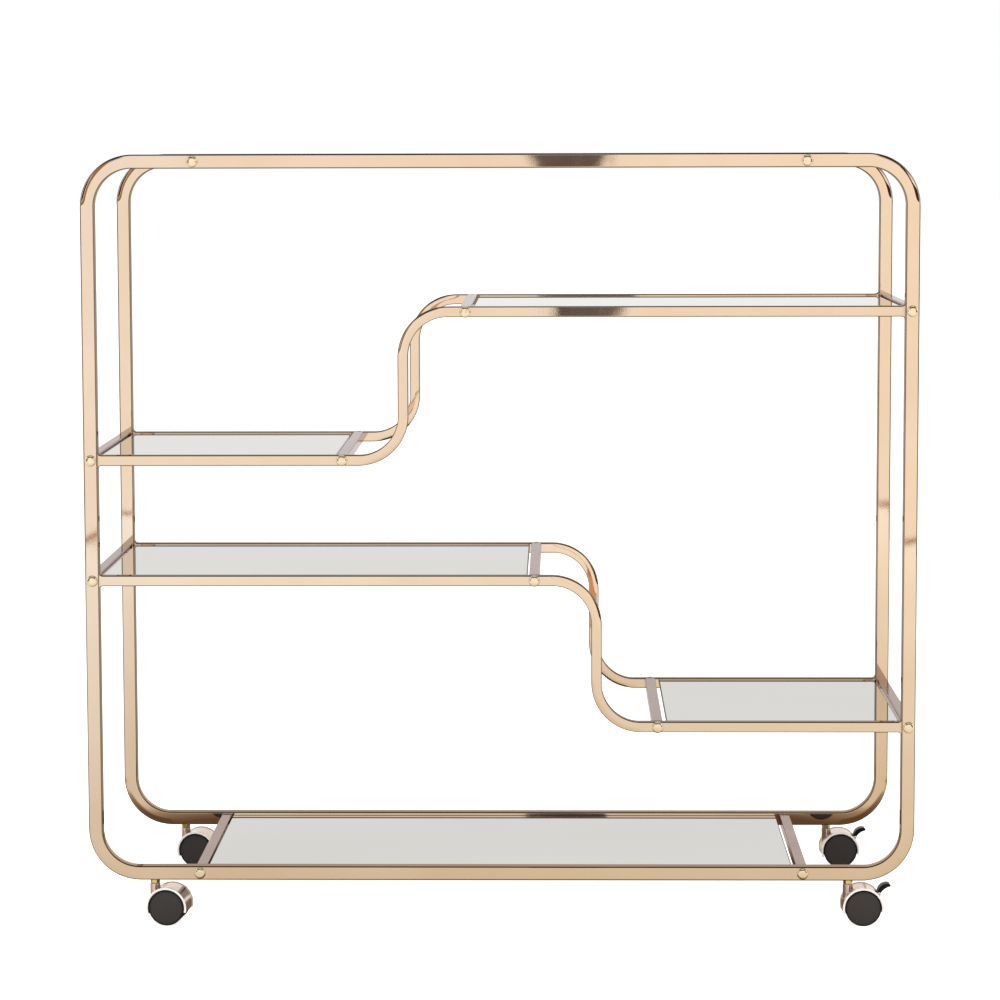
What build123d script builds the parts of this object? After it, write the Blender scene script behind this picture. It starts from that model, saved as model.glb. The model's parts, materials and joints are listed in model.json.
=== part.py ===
from build123d import *
import math
import os

os.makedirs("parts", exist_ok=True)

# Bar cart on four hooded twin-wheel casters. Two flat side frames of bent square tube stand
# front and rear, with stepped shelf rails welded inside them and crossbars bolted between them.
# Millimetres; +Z up, +X to the right, +Y to the rear; origin on the floor under the middle.

# Overall sizes
CART_WIDTH = 1010.0
FRAME_DEPTH = 360.0
CASTER_HEIGHT = 54.5
FRAME_HEIGHT = 885.5

# Tube stock and bends
MAIN_TUBE = 17.0
RAIL_TUBE = 13.0
TUBE_WALL = 1.2
MAIN_CORNER = 2.0
RAIL_CORNER = 1.5
BEND_RADIUS = 54.0

# Shelf levels, counted from mid-height, and where each rail steps down
OUTER_LEVEL = 253.2
INNER_LEVEL = 73.5
STEP_X = 117.0

# Crossbar places along X
END_BAR_X = 369.0
LONG_SHELF_BAR_X = 41.5
SHORT_SHELF_BAR_X = 191.5

# Weld beads where a rail meets a frame
BEAD_LENGTH = 4.5
BEAD_HEIGHT = 3.8
BEAD_ROOT = 0.4
BEAD_HALF_WIDTH = 4.4

# Domed bolts and the threaded inserts they screw into
BOLT_RADIUS = 3.0
BOLT_HOLE_RADIUS = 3.3
INSERT_BORE_RADIUS = 3.05
INSERT_LENGTH = 14.0
INSERT_GAP = 0.05
HEAD_RADIUS = 7.0
HEAD_LAND = 0.6
HEAD_DOME = 3.8
BOLT_GRIP = 11.0

# Mirror shelves, their tabs and pads
GLASS = 5.0
GLASS_DROP = 2.3
GLASS_ARRIS = 0.6
GLASS_SIDE_GAP = 0.8
GLASS_END_GAP = 2.0
GLASS_WIDE_GAP = 4.6
GLASS_FRAME_GAP = 0.6
PAD_RADIUS = 5.0
PAD_THICKNESS = 1.0
TAB_LENGTH = 24.0
TAB_REACH = 16.0
TAB_THICKNESS = 2.0
TAB_CORNER = 4.0
TAB_INSET = 60.0
LONG_SHELF = 480.0

# Casters
CASTER_X = 425.0
CASTER_TURN_LEFT = -7.0
CASTER_TURN_RIGHT = 1.0
TRAIL = 17.5
WHEEL_RADIUS = 22.0
WHEEL_INNER_Y = 5.0
WHEEL_OUTER_Y = 19.0
TREAD_ROUND = 1.6
FACE_WALL = 2.4
RIM_WALL = 3.0
GROOVE_DEPTH = 0.5
GROOVE_WIDTH = 0.8
GROOVE_STEP = 0.1
HUB_RADIUS = 6.0
AXLE_RADIUS = 2.5
RUNNING_GAP = 0.05
AXLE_HALF = 16.2
AXLE_END_GAP = 0.4
WEB_HALF = 4.5
WEB_DROP = 8.0
HOOD_CAVITY = 22.8
HOOD_LAP = 0.4
HOOD_RADIUS = 24.6
HOOD_HALF = 19.4
HOOD_RIGHT_END = -12.0
HOOD_LEFT_END = 200.0
RIM_RADIUS = 25.3
RIM_WIDTH = 1.8
BOSS_RADIUS = 6.2
BOSS_TOP = 49.7
BOSS_FOOT = 26.0
BOSS_ROUND = 1.0
BORE_FLOOR = 27.0
JOURNAL_RADIUS = 3.0
JOURNAL_END = 27.5
COLLAR_FLATS = 10.0
COLLAR_GAP = 0.3
STUD_RADIUS = 4.0
STUD_HOLE_RADIUS = 4.1
STUD_LENGTH = 13.5
STUD_CHAMFER = 0.8
TURNED_LAP = 1.0
SOCKET_RADIUS = 6.5
SOCKET_BORE_RADIUS = 4.05

# Brake lever on the two right casters
LEVER_ANGLE = 38.0
LEVER_PIVOT_RADIUS = 25.4
LEVER_BARREL = 2.6
LEVER_NOSE = 2.9
LEVER_THROW = 25.0
LEVER_HALF = 6.5
LEVER_ROUND = 0.8
FINGER_HEEL = (18.5, 17.5)
FINGER_CREST = (24.2, 26.8)
FINGER_TIP_TOP = (33.2, 28.0)
FINGER_TIP_FOOT = (35.0, 25.0)
FINGER_HOLLOW = (27.2, 21.9)
FINGER_ROOT = (22.3, 16.6)
SLOT_HALF = 6.9
SLOT_SPREAD = 14.0
SLOT_FLOOR = 22.1
LUG_RADIUS = 2.4
LUG_WIDTH = 2.0
LEVER_PIN_RADIUS = 1.0

# Centre lines worked out from the sizes above
FRAME_Y = FRAME_DEPTH / 2 - MAIN_TUBE / 2
LOOP_X = CART_WIDTH / 2 - MAIN_TUBE / 2
LOOP_BOTTOM = CASTER_HEIGHT + MAIN_TUBE / 2
LOOP_TOP = CASTER_HEIGHT + FRAME_HEIGHT - MAIN_TUBE / 2
MID_Z = (LOOP_BOTTOM + LOOP_TOP) / 2
UPPER_RIGHT_Z = MID_Z + OUTER_LEVEL
UPPER_LEFT_Z = MID_Z + INNER_LEVEL
LOWER_LEFT_Z = MID_Z - INNER_LEVEL
LOWER_RIGHT_Z = MID_Z - OUTER_LEVEL
FRAME_INNER_X = LOOP_X - MAIN_TUBE / 2
FRAME_INNER_Y = FRAME_Y - MAIN_TUBE / 2
RAIL_INNER_Y = FRAME_Y - RAIL_TUBE / 2
LEVER_PIN_LENGTH = 2 * SLOT_HALF + 2 * LUG_WIDTH

# Every crossbar: name, X, Z, and whether it is bolted to the frames or to the shelf rails
CROSSBARS = [
    ("crossbar_top_left", -END_BAR_X, LOOP_TOP, "frame"),
    ("crossbar_top_right", END_BAR_X, LOOP_TOP, "frame"),
    ("crossbar_upper_right_outer", LOOP_X, UPPER_RIGHT_Z, "frame"),
    ("crossbar_upper_right_inner", -LONG_SHELF_BAR_X, UPPER_RIGHT_Z, "rail"),
    ("crossbar_upper_left_outer", -LOOP_X, UPPER_LEFT_Z, "frame"),
    ("crossbar_upper_left_inner", -SHORT_SHELF_BAR_X, UPPER_LEFT_Z, "rail"),
    ("crossbar_lower_left_outer", -LOOP_X, LOWER_LEFT_Z, "frame"),
    ("crossbar_lower_left_inner", LONG_SHELF_BAR_X, LOWER_LEFT_Z, "rail"),
    ("crossbar_lower_right_outer", LOOP_X, LOWER_RIGHT_Z, "frame"),
    ("crossbar_lower_right_inner", SHORT_SHELF_BAR_X, LOWER_RIGHT_Z, "rail"),
    ("crossbar_bottom_left", -END_BAR_X, LOOP_BOTTOM, "frame"),
    ("crossbar_bottom_right", END_BAR_X, LOOP_BOTTOM, "frame"),
]

# Every caster: name, X, Y, its turn about its stem, and whether it has a brake
CASTERS = [
    ("front_left", -CASTER_X, -FRAME_Y, CASTER_TURN_LEFT, False),
    ("rear_left", -CASTER_X, FRAME_Y, CASTER_TURN_LEFT, False),
    ("front_right", CASTER_X, -FRAME_Y, CASTER_TURN_RIGHT, True),
    ("rear_right", CASTER_X, FRAME_Y, CASTER_TURN_RIGHT, True),
]


def write(name, shape):
    """Write one sub-part to its own STEP file."""
    shape.label = name
    export_step(shape, f"parts/{name}.step")


def group(solids):
    """Separate solids that share one node."""
    return Compound(children=[solid for part in solids for solid in part.solids()])


def tube_section(size, corner):
    """Cross-section of a square tube: rounded outside, square inside."""
    bore = size - 2 * TUBE_WALL
    return RectangleRounded(size, size, corner) - Rectangle(bore, bore)


def rod_y(radius, length, x, y, z):
    """Round bar along Y, centred on a point."""
    return Location((x, y, z), (90, 0, 0)) * Cylinder(radius, length)


def bar_reach(fixing):
    """Y of the face that a crossbar's end butts against."""
    if fixing == "frame":
        return FRAME_INNER_Y
    return RAIL_INNER_Y


# Side frames: one closed loop of square tube, drilled for its bolts and two caster stems.
def loop_band(width, corner):
    """Closed rounded-rectangle band of a square section, as wide as it is deep."""
    outer = RectangleRounded(2 * LOOP_X + width, LOOP_TOP - LOOP_BOTTOM + width, BEND_RADIUS + width / 2)
    inner = RectangleRounded(2 * LOOP_X - width, LOOP_TOP - LOOP_BOTTOM - width, BEND_RADIUS - width / 2)
    band = extrude(Plane.XZ * (outer - inner), width / 2, both=True)
    if corner > 0:
        edges = band.faces().sort_by(Axis.Y)[0].edges() + band.faces().sort_by(Axis.Y)[-1].edges()
        band = fillet(edges, corner)
    return Pos(0, 0, MID_Z) * band


def side_frame(side):
    frame = loop_band(MAIN_TUBE, MAIN_CORNER) - loop_band(MAIN_TUBE - 2 * TUBE_WALL, 0)
    for _, x, z, fixing in CROSSBARS:
        if fixing == "frame":
            frame -= rod_y(BOLT_HOLE_RADIUS, 2 * MAIN_TUBE, x, 0, z)
    for x in (-CASTER_X, CASTER_X):
        frame -= Pos(x, 0, CASTER_HEIGHT) * Cylinder(STUD_HOLE_RADIUS, MAIN_TUBE)
    return Pos(0, side * FRAME_Y, 0) * frame


# Shelf rails: a smaller tube with an S-bend, carrying one shelf at each level, with a weld bead
# above and below each end.
def weld_bead(x, z, inward, upward):
    bend = math.sqrt(0.5)
    middle = (BEAD_LENGTH * (1 - bend), BEAD_HEIGHT * (1 - bend))
    toe = (BEAD_LENGTH, 0)
    crest = (0, BEAD_HEIGHT)
    outline = [
        ThreePointArc(toe, middle, crest),
        Line(crest, (0, -BEAD_ROOT)),
        Line((0, -BEAD_ROOT), (BEAD_LENGTH, -BEAD_ROOT)),
        Line((BEAD_LENGTH, -BEAD_ROOT), toe),
    ]
    bead = extrude(Plane.XZ * make_face(outline), BEAD_HALF_WIDTH, both=True)
    if inward < 0:
        bead = mirror(bead, about=Plane.YZ)
    if upward < 0:
        bead = mirror(bead, about=Plane.XY)
    return Pos(x, 0, z + upward * RAIL_TUBE / 2) * bead


def shelf_rail(side, left_z, right_z, step_x, holes):
    ends = [(-FRAME_INNER_X, left_z), (FRAME_INNER_X, right_z)]
    outline = FilletPolyline(ends[0], (step_x, left_z), (step_x, right_z), ends[1], radius=BEND_RADIUS)
    path = Plane.XZ * outline
    start = Plane(path.position_at(0), x_dir=(0, 1, 0), z_dir=(1, 0, 0))
    rail = sweep(start * tube_section(RAIL_TUBE, RAIL_CORNER), path=path)
    for upward in (-1, 1):
        rail += weld_bead(-FRAME_INNER_X, left_z, 1, upward)
        rail += weld_bead(FRAME_INNER_X, right_z, -1, upward)
    for x, z in holes:
        rail -= rod_y(BOLT_HOLE_RADIUS, 2 * RAIL_TUBE, x, 0, z)
    return Pos(0, side * FRAME_Y, 0) * rail


# Crossbars: straight square tube, open at both ends, with a threaded insert in each end.
def crossbar(x, z, fixing):
    section = Plane.XZ * tube_section(RAIL_TUBE, RAIL_CORNER)
    return Pos(x, 0, z) * extrude(section, bar_reach(fixing), both=True)


def crossbar_insert(x, z, fixing, side):
    size = RAIL_TUBE - 2 * TUBE_WALL - 2 * INSERT_GAP
    plug = Box(size, INSERT_LENGTH, size)
    plug -= rod_y(INSERT_BORE_RADIUS, 2 * INSERT_LENGTH, 0, 0, 0)
    return Pos(x, side * (bar_reach(fixing) - INSERT_LENGTH / 2), z) * plug


# Bolts: a low domed head on a plain shank, pointing inwards from each side.
def dome_bolt(x, z, fixing, side):
    tube = MAIN_TUBE if fixing == "frame" else RAIL_TUBE
    length = tube + BOLT_GRIP
    dome_radius = (HEAD_RADIUS**2 + HEAD_DOME**2) / (2 * HEAD_DOME)
    half_angle = math.asin(HEAD_RADIUS / dome_radius) / 2
    crown = (0, HEAD_LAND + HEAD_DOME)
    shoulder = (
        dome_radius * math.sin(half_angle),
        crown[1] - dome_radius * (1 - math.cos(half_angle)),
    )
    outline = [
        Line((0, -length), (BOLT_RADIUS, -length)),
        Line((BOLT_RADIUS, -length), (BOLT_RADIUS, 0)),
        Line((BOLT_RADIUS, 0), (HEAD_RADIUS, 0)),
        Line((HEAD_RADIUS, 0), (HEAD_RADIUS, HEAD_LAND)),
        ThreePointArc((HEAD_RADIUS, HEAD_LAND), shoulder, crown),
        Line(crown, (0, -length)),
    ]
    bolt = revolve(Plane.XZ * make_face(outline), Axis.Z)
    seat = side * (bar_reach(fixing) + tube)
    return Location((x, seat, z), (-side * 90, 0, 0)) * bolt


# Mirror shelves: float glass with polished arrises, on clear pads on tabs welded to the tubes.
def glass_underside(bar_z):
    return bar_z + RAIL_TUBE / 2 - GLASS_DROP - GLASS


def mirror_shelf(x_low, x_high, y_half, bar_z):
    plate = Box(x_high - x_low, 2 * y_half, GLASS, align=(Align.MIN, Align.CENTER, Align.MIN))
    plate = chamfer(plate.edges(), GLASS_ARRIS)
    return Pos(x_low, 0, glass_underside(bar_z)) * plate


def tab_places(x_low, x_high):
    """X of the tabs along one side: one near each end, and one in the middle of a long shelf."""
    places = [x_low + TAB_INSET, x_high - TAB_INSET]
    if x_high - x_low > LONG_SHELF:
        places.append((x_low + x_high) / 2)
    return places


def shelf_tabs(x_low, x_high, wall_y, bar_z):
    top = glass_underside(bar_z) - PAD_THICKNESS
    tab = Box(TAB_LENGTH, TAB_REACH, TAB_THICKNESS)
    ends = tab.edges().filter_by(Axis.Z).group_by(Axis.Y)[0]
    tab = fillet(ends, TAB_CORNER)
    tabs = []
    for x in tab_places(x_low, x_high):
        for turn in (0, 180):
            place = Location((x, 0, top - TAB_THICKNESS / 2), (0, 0, turn))
            tabs.append(place * Pos(0, wall_y - TAB_REACH / 2, 0) * tab)
    return group(tabs)


def shelf_pads(x_low, x_high, wall_y, bar_z):
    foot = glass_underside(bar_z) - PAD_THICKNESS / 2
    pads = []
    for x in tab_places(x_low, x_high):
        for side in (-1, 1):
            pads.append(Pos(x, side * (wall_y - TAB_REACH / 2), foot) * Cylinder(PAD_RADIUS, PAD_THICKNESS))
    return pads


# Casters, drawn about their own stem axis: +X is the trailing direction, +Y runs along the axle.
def sector(radius_in, radius_out, half_width):
    """Part of a ring about the axle, from the hood's right end over the top to its left end."""
    sweep_angle = HOOD_LEFT_END - HOOD_RIGHT_END
    outer = CenterArc((0, 0), radius_out, HOOD_RIGHT_END, sweep_angle)
    inner = CenterArc((0, 0), radius_in, HOOD_RIGHT_END, sweep_angle)
    outline = [outer, inner, Line(outer @ 0, inner @ 0), Line(outer @ 1, inner @ 1)]
    return extrude(Plane.XZ * make_face(outline), half_width, both=True)


def at_axle(shape):
    return Pos(TRAIL, 0, WHEEL_RADIUS) * shape


def lever_pivot():
    angle = math.radians(LEVER_ANGLE)
    return (LEVER_PIVOT_RADIUS * math.cos(angle), LEVER_PIVOT_RADIUS * math.sin(angle))


def hood_slot():
    """Window in the hood's crown that the lever works in."""
    spread = math.radians(SLOT_SPREAD)
    angle = math.radians(LEVER_ANGLE)
    reach = 2 * HOOD_RADIUS
    corners = [(reach * math.cos(angle + k * spread), reach * math.sin(angle + k * spread)) for k in (-1, 1)]
    outline = Polyline((0, 0), corners[0], corners[1], close=True)
    wedge = extrude(Plane.XZ * make_face(outline), SLOT_HALF, both=True)
    return wedge - rod_y(SLOT_FLOOR, 4 * SLOT_HALF, 0, 0, 0)


def caster_housing(braked):
    hood = sector(HOOD_CAVITY - HOOD_LAP, HOOD_RADIUS, HOOD_HALF)
    for side in (-1, 1):
        rim = sector(HOOD_CAVITY - HOOD_LAP, RIM_RADIUS, RIM_WIDTH / 2)
        hood += Pos(0, side * (HOOD_HALF - RIM_WIDTH / 2), 0) * rim
    web = rod_y(HOOD_CAVITY, 2 * WEB_HALF, 0, 0, 0)
    below = Box(3 * RIM_RADIUS, 4 * WEB_HALF, 3 * RIM_RADIUS, align=(Align.CENTER, Align.CENTER, Align.MAX))
    web -= Pos(0, 0, -WEB_DROP) * below
    housing = at_axle(hood + web)
    boss_height = BOSS_TOP - BOSS_FOOT
    foot = (Align.CENTER, Align.CENTER, Align.MIN)
    boss = Pos(0, 0, BOSS_FOOT) * Cylinder(BOSS_RADIUS, boss_height, align=foot)
    housing += fillet(boss.edges().group_by(Axis.Z)[-1], BOSS_ROUND)
    for side in (-1, 1):
        bay = rod_y(HOOD_CAVITY, HOOD_HALF, 0, side * (WEB_HALF + HOOD_HALF / 2), 0)
        housing -= at_axle(bay)
    housing -= Pos(0, 0, BORE_FLOOR) * Cylinder(JOURNAL_RADIUS + RUNNING_GAP, boss_height, align=foot)
    housing -= at_axle(rod_y(AXLE_RADIUS + RUNNING_GAP / 2, 4 * WEB_HALF, 0, 0, 0))
    if braked:
        x, z = lever_pivot()
        for side in (-1, 1):
            lug = rod_y(LUG_RADIUS, LUG_WIDTH, x, side * (SLOT_HALF + LUG_WIDTH / 2), z)
            housing += at_axle(lug - rod_y(HOOD_CAVITY, 4 * HOOD_HALF, 0, 0, 0))
        housing -= at_axle(hood_slot())
        housing -= at_axle(rod_y(LEVER_PIN_RADIUS + RUNNING_GAP / 2, LEVER_PIN_LENGTH, x, 0, z))
    return housing


def caster_stem():
    """Threaded stud, hex collar and plain journal, turned from one bar."""
    foot = (Align.CENTER, Align.CENTER, Align.MIN)
    collar_height = CASTER_HEIGHT - BOSS_TOP - COLLAR_GAP
    collar = extrude(RegularPolygon(COLLAR_FLATS / 2, 6, major_radius=False), collar_height)
    stem = Pos(0, 0, CASTER_HEIGHT - collar_height) * collar
    stud = Cylinder(STUD_RADIUS, STUD_LENGTH + TURNED_LAP, align=foot)
    stem += Pos(0, 0, CASTER_HEIGHT - TURNED_LAP) * stud
    journal = Cylinder(JOURNAL_RADIUS, CASTER_HEIGHT - TURNED_LAP - JOURNAL_END, align=foot)
    stem += Pos(0, 0, JOURNAL_END) * journal
    return chamfer(stem.edges().group_by(Axis.Z)[-1], STUD_CHAMFER)


def caster_socket(x, y):
    """Threaded sleeve inside the bottom bar."""
    height = MAIN_TUBE - 2 * TUBE_WALL - 2 * INSERT_GAP
    sleeve = Cylinder(SOCKET_RADIUS, height) - Cylinder(SOCKET_BORE_RADIUS, height)
    return Pos(x, y, LOOP_BOTTOM) * sleeve


def caster_wheel(side):
    """Moulded wheel: closed outer face, rounded tread, hollow behind, blind bore for the axle."""
    width = WHEEL_OUTER_Y - WHEEL_INNER_Y
    rim_in = WHEEL_RADIUS - RIM_WALL
    foot = (Align.CENTER, Align.CENTER, Align.MIN)
    wheel = Cylinder(WHEEL_RADIUS, width, align=foot)
    wheel = fillet(wheel.edges(), TREAD_ROUND)
    wheel -= Cylinder(rim_in, width - FACE_WALL, align=foot)
    wheel += Cylinder(HUB_RADIUS, width - FACE_WALL, align=foot)
    bore_depth = AXLE_HALF + AXLE_END_GAP - WHEEL_INNER_Y
    wheel -= Cylinder(AXLE_RADIUS + RUNNING_GAP, bore_depth, align=foot)
    groove_in = rim_in + GROOVE_STEP
    groove = Cylinder(groove_in + GROOVE_WIDTH, GROOVE_DEPTH, align=foot)
    groove -= Cylinder(groove_in, GROOVE_DEPTH, align=foot)
    wheel -= Pos(0, 0, width - GROOVE_DEPTH) * groove
    return at_axle(Location((0, side * WHEEL_INNER_Y, 0), (-side * 90, 0, 0)) * wheel)


def brake_lever():
    """Pivot barrel with a brake nose, and a thick finger plate that curls up and over."""
    x, z = lever_pivot()
    outline = [
        ThreePointArc(FINGER_HEEL, FINGER_CREST, FINGER_TIP_TOP),
        Line(FINGER_TIP_TOP, FINGER_TIP_FOOT),
        ThreePointArc(FINGER_TIP_FOOT, FINGER_HOLLOW, FINGER_ROOT),
        Line(FINGER_ROOT, FINGER_HEEL),
    ]
    finger = make_face(outline)
    tip_corners = finger.vertices().sort_by(Axis.X)[-2:]
    finger = fillet(tip_corners, LEVER_ROUND)
    nose_angle = math.radians(LEVER_ANGLE + 180 + LEVER_THROW)
    nose_centre = (x + LEVER_NOSE / 2 * math.cos(nose_angle), z + LEVER_NOSE / 2 * math.sin(nose_angle))
    profile = finger + Pos(x, z) * Circle(LEVER_BARREL) + Pos(*nose_centre) * Circle(LEVER_NOSE / 2)
    lever = extrude(Plane.XZ * profile, LEVER_HALF, both=True)
    lever -= rod_y(LEVER_PIN_RADIUS + RUNNING_GAP, 4 * LEVER_HALF, x, 0, z)
    return at_axle(lever)


def lever_pin():
    x, z = lever_pivot()
    return at_axle(rod_y(LEVER_PIN_RADIUS, LEVER_PIN_LENGTH, x, 0, z))


# Side frames and shelf rails
write("front_frame", side_frame(-1))
write("rear_frame", side_frame(1))
upper_holes = [(-SHORT_SHELF_BAR_X, UPPER_LEFT_Z), (-LONG_SHELF_BAR_X, UPPER_RIGHT_Z)]
lower_holes = [(LONG_SHELF_BAR_X, LOWER_LEFT_Z), (SHORT_SHELF_BAR_X, LOWER_RIGHT_Z)]
for side_name, side in (("front", -1), ("rear", 1)):
    write(f"upper_rail_{side_name}", shelf_rail(side, UPPER_LEFT_Z, UPPER_RIGHT_Z, -STEP_X, upper_holes))
    write(f"lower_rail_{side_name}", shelf_rail(side, LOWER_LEFT_Z, LOWER_RIGHT_Z, STEP_X, lower_holes))

# Crossbars with their inserts and bolts
for bar_name, bar_x, bar_z, fixing in CROSSBARS:
    write(bar_name, crossbar(bar_x, bar_z, fixing))
write("front_bolts", group([dome_bolt(x, z, fixing, -1) for _, x, z, fixing in CROSSBARS]))
write("rear_bolts", group([dome_bolt(x, z, fixing, 1) for _, x, z, fixing in CROSSBARS]))
inserts = [crossbar_insert(x, z, fixing, side) for _, x, z, fixing in CROSSBARS for side in (-1, 1)]
write("crossbar_inserts", group(inserts))

# Shelves: name, low X, high X, Y of the tubes they lie between, and bar level
bar_half = RAIL_TUBE / 2
outer_end = FRAME_INNER_X - GLASS_FRAME_GAP
long_end = LONG_SHELF_BAR_X - bar_half - GLASS_END_GAP
short_end = SHORT_SHELF_BAR_X + bar_half + GLASS_END_GAP
wide_end = SHORT_SHELF_BAR_X + bar_half + GLASS_WIDE_GAP
bottom_end = END_BAR_X - bar_half
shelves = [
    ("upper_right", -long_end, outer_end, RAIL_INNER_Y, UPPER_RIGHT_Z),
    ("upper_left", -outer_end, -short_end, RAIL_INNER_Y, UPPER_LEFT_Z),
    ("lower_left", -outer_end, long_end, RAIL_INNER_Y, LOWER_LEFT_Z),
    ("lower_right", wide_end, outer_end, RAIL_INNER_Y, LOWER_RIGHT_Z),
    ("bottom", -bottom_end + GLASS_SIDE_GAP, bottom_end - GLASS_WIDE_GAP, FRAME_INNER_Y, LOOP_BOTTOM),
]
pads = []
for shelf_name, x_low, x_high, wall_y, bar_z in shelves:
    write(f"mirror_{shelf_name}", mirror_shelf(x_low, x_high, wall_y - GLASS_SIDE_GAP, bar_z))
    write(f"tabs_{shelf_name}", shelf_tabs(x_low, x_high, wall_y, bar_z))
    pads += shelf_pads(x_low, x_high, wall_y, bar_z)
write("bumper_pads", group(pads))

# Casters and their sockets in the bottom bars
write("caster_sockets", group([caster_socket(x, y) for _, x, y, _, _ in CASTERS]))
for corner, x, y, turn, braked in CASTERS:
    place = Location((x, y, 0), (0, 0, turn))
    write(f"caster_{corner}_stem", place * caster_stem())
    write(f"caster_{corner}_housing", place * caster_housing(braked))
    write(f"caster_{corner}_axle", place * at_axle(rod_y(AXLE_RADIUS, 2 * AXLE_HALF, 0, 0, 0)))
    write(f"caster_{corner}_wheel_front", place * caster_wheel(-1))
    write(f"caster_{corner}_wheel_rear", place * caster_wheel(1))
    if braked:
        write(f"brake_lever_{corner}", place * brake_lever())
        write(f"brake_pin_{corner}", place * lever_pin())
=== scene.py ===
import json
import math

import bmesh
import bpy
from mathutils import Matrix, Vector


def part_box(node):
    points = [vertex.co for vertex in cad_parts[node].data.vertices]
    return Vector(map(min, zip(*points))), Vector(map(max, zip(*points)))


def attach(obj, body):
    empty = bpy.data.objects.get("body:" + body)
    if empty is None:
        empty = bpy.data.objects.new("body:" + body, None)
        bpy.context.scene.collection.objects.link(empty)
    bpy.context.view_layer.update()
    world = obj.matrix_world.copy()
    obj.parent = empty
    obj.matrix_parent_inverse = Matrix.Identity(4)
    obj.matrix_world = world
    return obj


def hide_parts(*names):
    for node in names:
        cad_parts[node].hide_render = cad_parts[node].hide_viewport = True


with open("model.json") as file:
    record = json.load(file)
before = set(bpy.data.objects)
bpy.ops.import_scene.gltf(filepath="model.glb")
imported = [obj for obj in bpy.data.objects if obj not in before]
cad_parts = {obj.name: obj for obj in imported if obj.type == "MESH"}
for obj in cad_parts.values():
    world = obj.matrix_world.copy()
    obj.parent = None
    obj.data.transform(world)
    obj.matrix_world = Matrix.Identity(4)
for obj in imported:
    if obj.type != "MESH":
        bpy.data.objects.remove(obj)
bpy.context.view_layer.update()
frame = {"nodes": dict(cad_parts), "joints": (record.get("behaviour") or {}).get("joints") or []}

nodes = frame["nodes"]

# Studio. A plain pale floor in a white room, lit by one broad ceiling lamp and two side lamps.
# The room is darker overhead and its front wall has a near-black band above eye level, which
# polished tube needs: the white gives it its colour and the dark draws thin lines along its edges.
def add(tree, kind, inputs=None, **settings):
    """Add one node, set its properties, then link or fill its inputs."""
    made = tree.nodes.new(kind)
    for name, value in settings.items():
        setattr(made, name, value)
    for key, value in (inputs or {}).items():
        if isinstance(value, bpy.types.NodeSocket):
            tree.links.new(value, made.inputs[key])
        else:
            made.inputs[key].default_value = value
    return made


def ramp(tree, factor, stops):
    """A colour ramp through (position, colour) stops."""
    made = add(tree, "ShaderNodeValToRGB", {0: factor})
    elements = made.color_ramp.elements
    while len(elements) < len(stops):
        elements.new(0.5)
    for element, (position, colour) in zip(elements, stops):
        element.position = position
        element.color = colour
    return made.outputs[0]


bpy.context.scene.view_settings.view_transform = "Standard"
world = bpy.data.worlds.new("studio_room")
bpy.context.scene.world = world
world.use_nodes = True
room = world.node_tree
facing = add(room, "ShaderNodeTexCoord")
way = add(room, "ShaderNodeSeparateXYZ", {0: facing.outputs["Generated"]}).outputs
height = add(room, "ShaderNodeMapRange", {0: way[2], 1: -1.0, 2: 1.0, 3: 0.0, 4: 1.0})
walls = ramp(room, height.outputs[0], [
    (0.0, (1.0, 1.0, 1.0, 1)),
    (0.80, (1.0, 1.0, 1.0, 1)),
    (0.88, (0.26, 0.22, 0.19, 1)),
    (1.0, (0.52, 0.50, 0.48, 1)),
])
front_wall = ramp(room, height.outputs[0], [
    (0.0, (0.99, 0.95, 0.90, 1)),
    (0.60, (1.0, 0.97, 0.93, 1)),
    (0.635, (0.85, 0.82, 0.80, 1)),
    (0.66, (0.05, 0.045, 0.04, 1)),
    (0.84, (0.05, 0.045, 0.04, 1)),
    (0.90, (0.8, 0.8, 0.8, 1)),
])
# The front wall fades into the others between these two bearings from straight ahead.
front_wall_edge = math.radians(34)
front_wall_end = math.radians(46)
across = add(room, "ShaderNodeMath", {0: way[0]}, operation="ABSOLUTE")
ahead = add(room, "ShaderNodeMath", {0: way[1], 1: -1.0}, operation="MULTIPLY")
bearing = add(room, "ShaderNodeMath", {0: across.outputs[0], 1: ahead.outputs[0]},
              operation="ARCTAN2")
aside = add(room, "ShaderNodeMapRange", {0: bearing.outputs[0], 1: front_wall_edge,
                                         2: front_wall_end})
# It is lit a little cooler on the left and warmer on the right.
side = add(room, "ShaderNodeMapRange", {0: way[0], 1: -0.16, 2: 0.14})
side_tint = ramp(room, side.outputs[0], [
    (0.0, (1.0, 1.05, 1.12, 1)),
    (0.5, (1.0, 0.99, 0.98, 1)),
    (1.0, (1.04, 1.02, 0.98, 1)),
])
tinted = add(room, "ShaderNodeMix", {0: 1.0, 6: front_wall, 7: side_tint}, data_type="RGBA",
             blend_type="MULTIPLY")
all_round = add(room, "ShaderNodeMix", {0: aside.outputs[0], 6: tinted.outputs[2], 7: walls},
                data_type="RGBA")
room.links.new(all_round.outputs[2], room.nodes["Background"].inputs[0])


# Floor. One matt white sheet for the camera. Polished metal doesn't see it, because it sees the
# darker floor disc of the next section.
def linear(code):
    """An sRGB hex colour as linear red, green, blue and alpha."""
    shown = [int(code[i : i + 2], 16) / 255 for i in (1, 3, 5)]
    return [c / 12.92 if c <= 0.04045 else ((c + 0.055) / 1.055) ** 2.4 for c in shown] + [1.0]


def material(name):
    """An empty material: itself, its tree, and its Principled shader."""
    made = bpy.data.materials.new(name)
    made.use_nodes = True
    return made, made.node_tree, made.node_tree.nodes["Principled BSDF"]


def new_piece(name, mesh, *materials):
    """An object at the origin with its place in its mesh."""
    made = bpy.data.objects.new(name, mesh)
    bpy.context.scene.collection.objects.link(made)
    for finish in materials:
        mesh.materials.append(finish)
    return made


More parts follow.
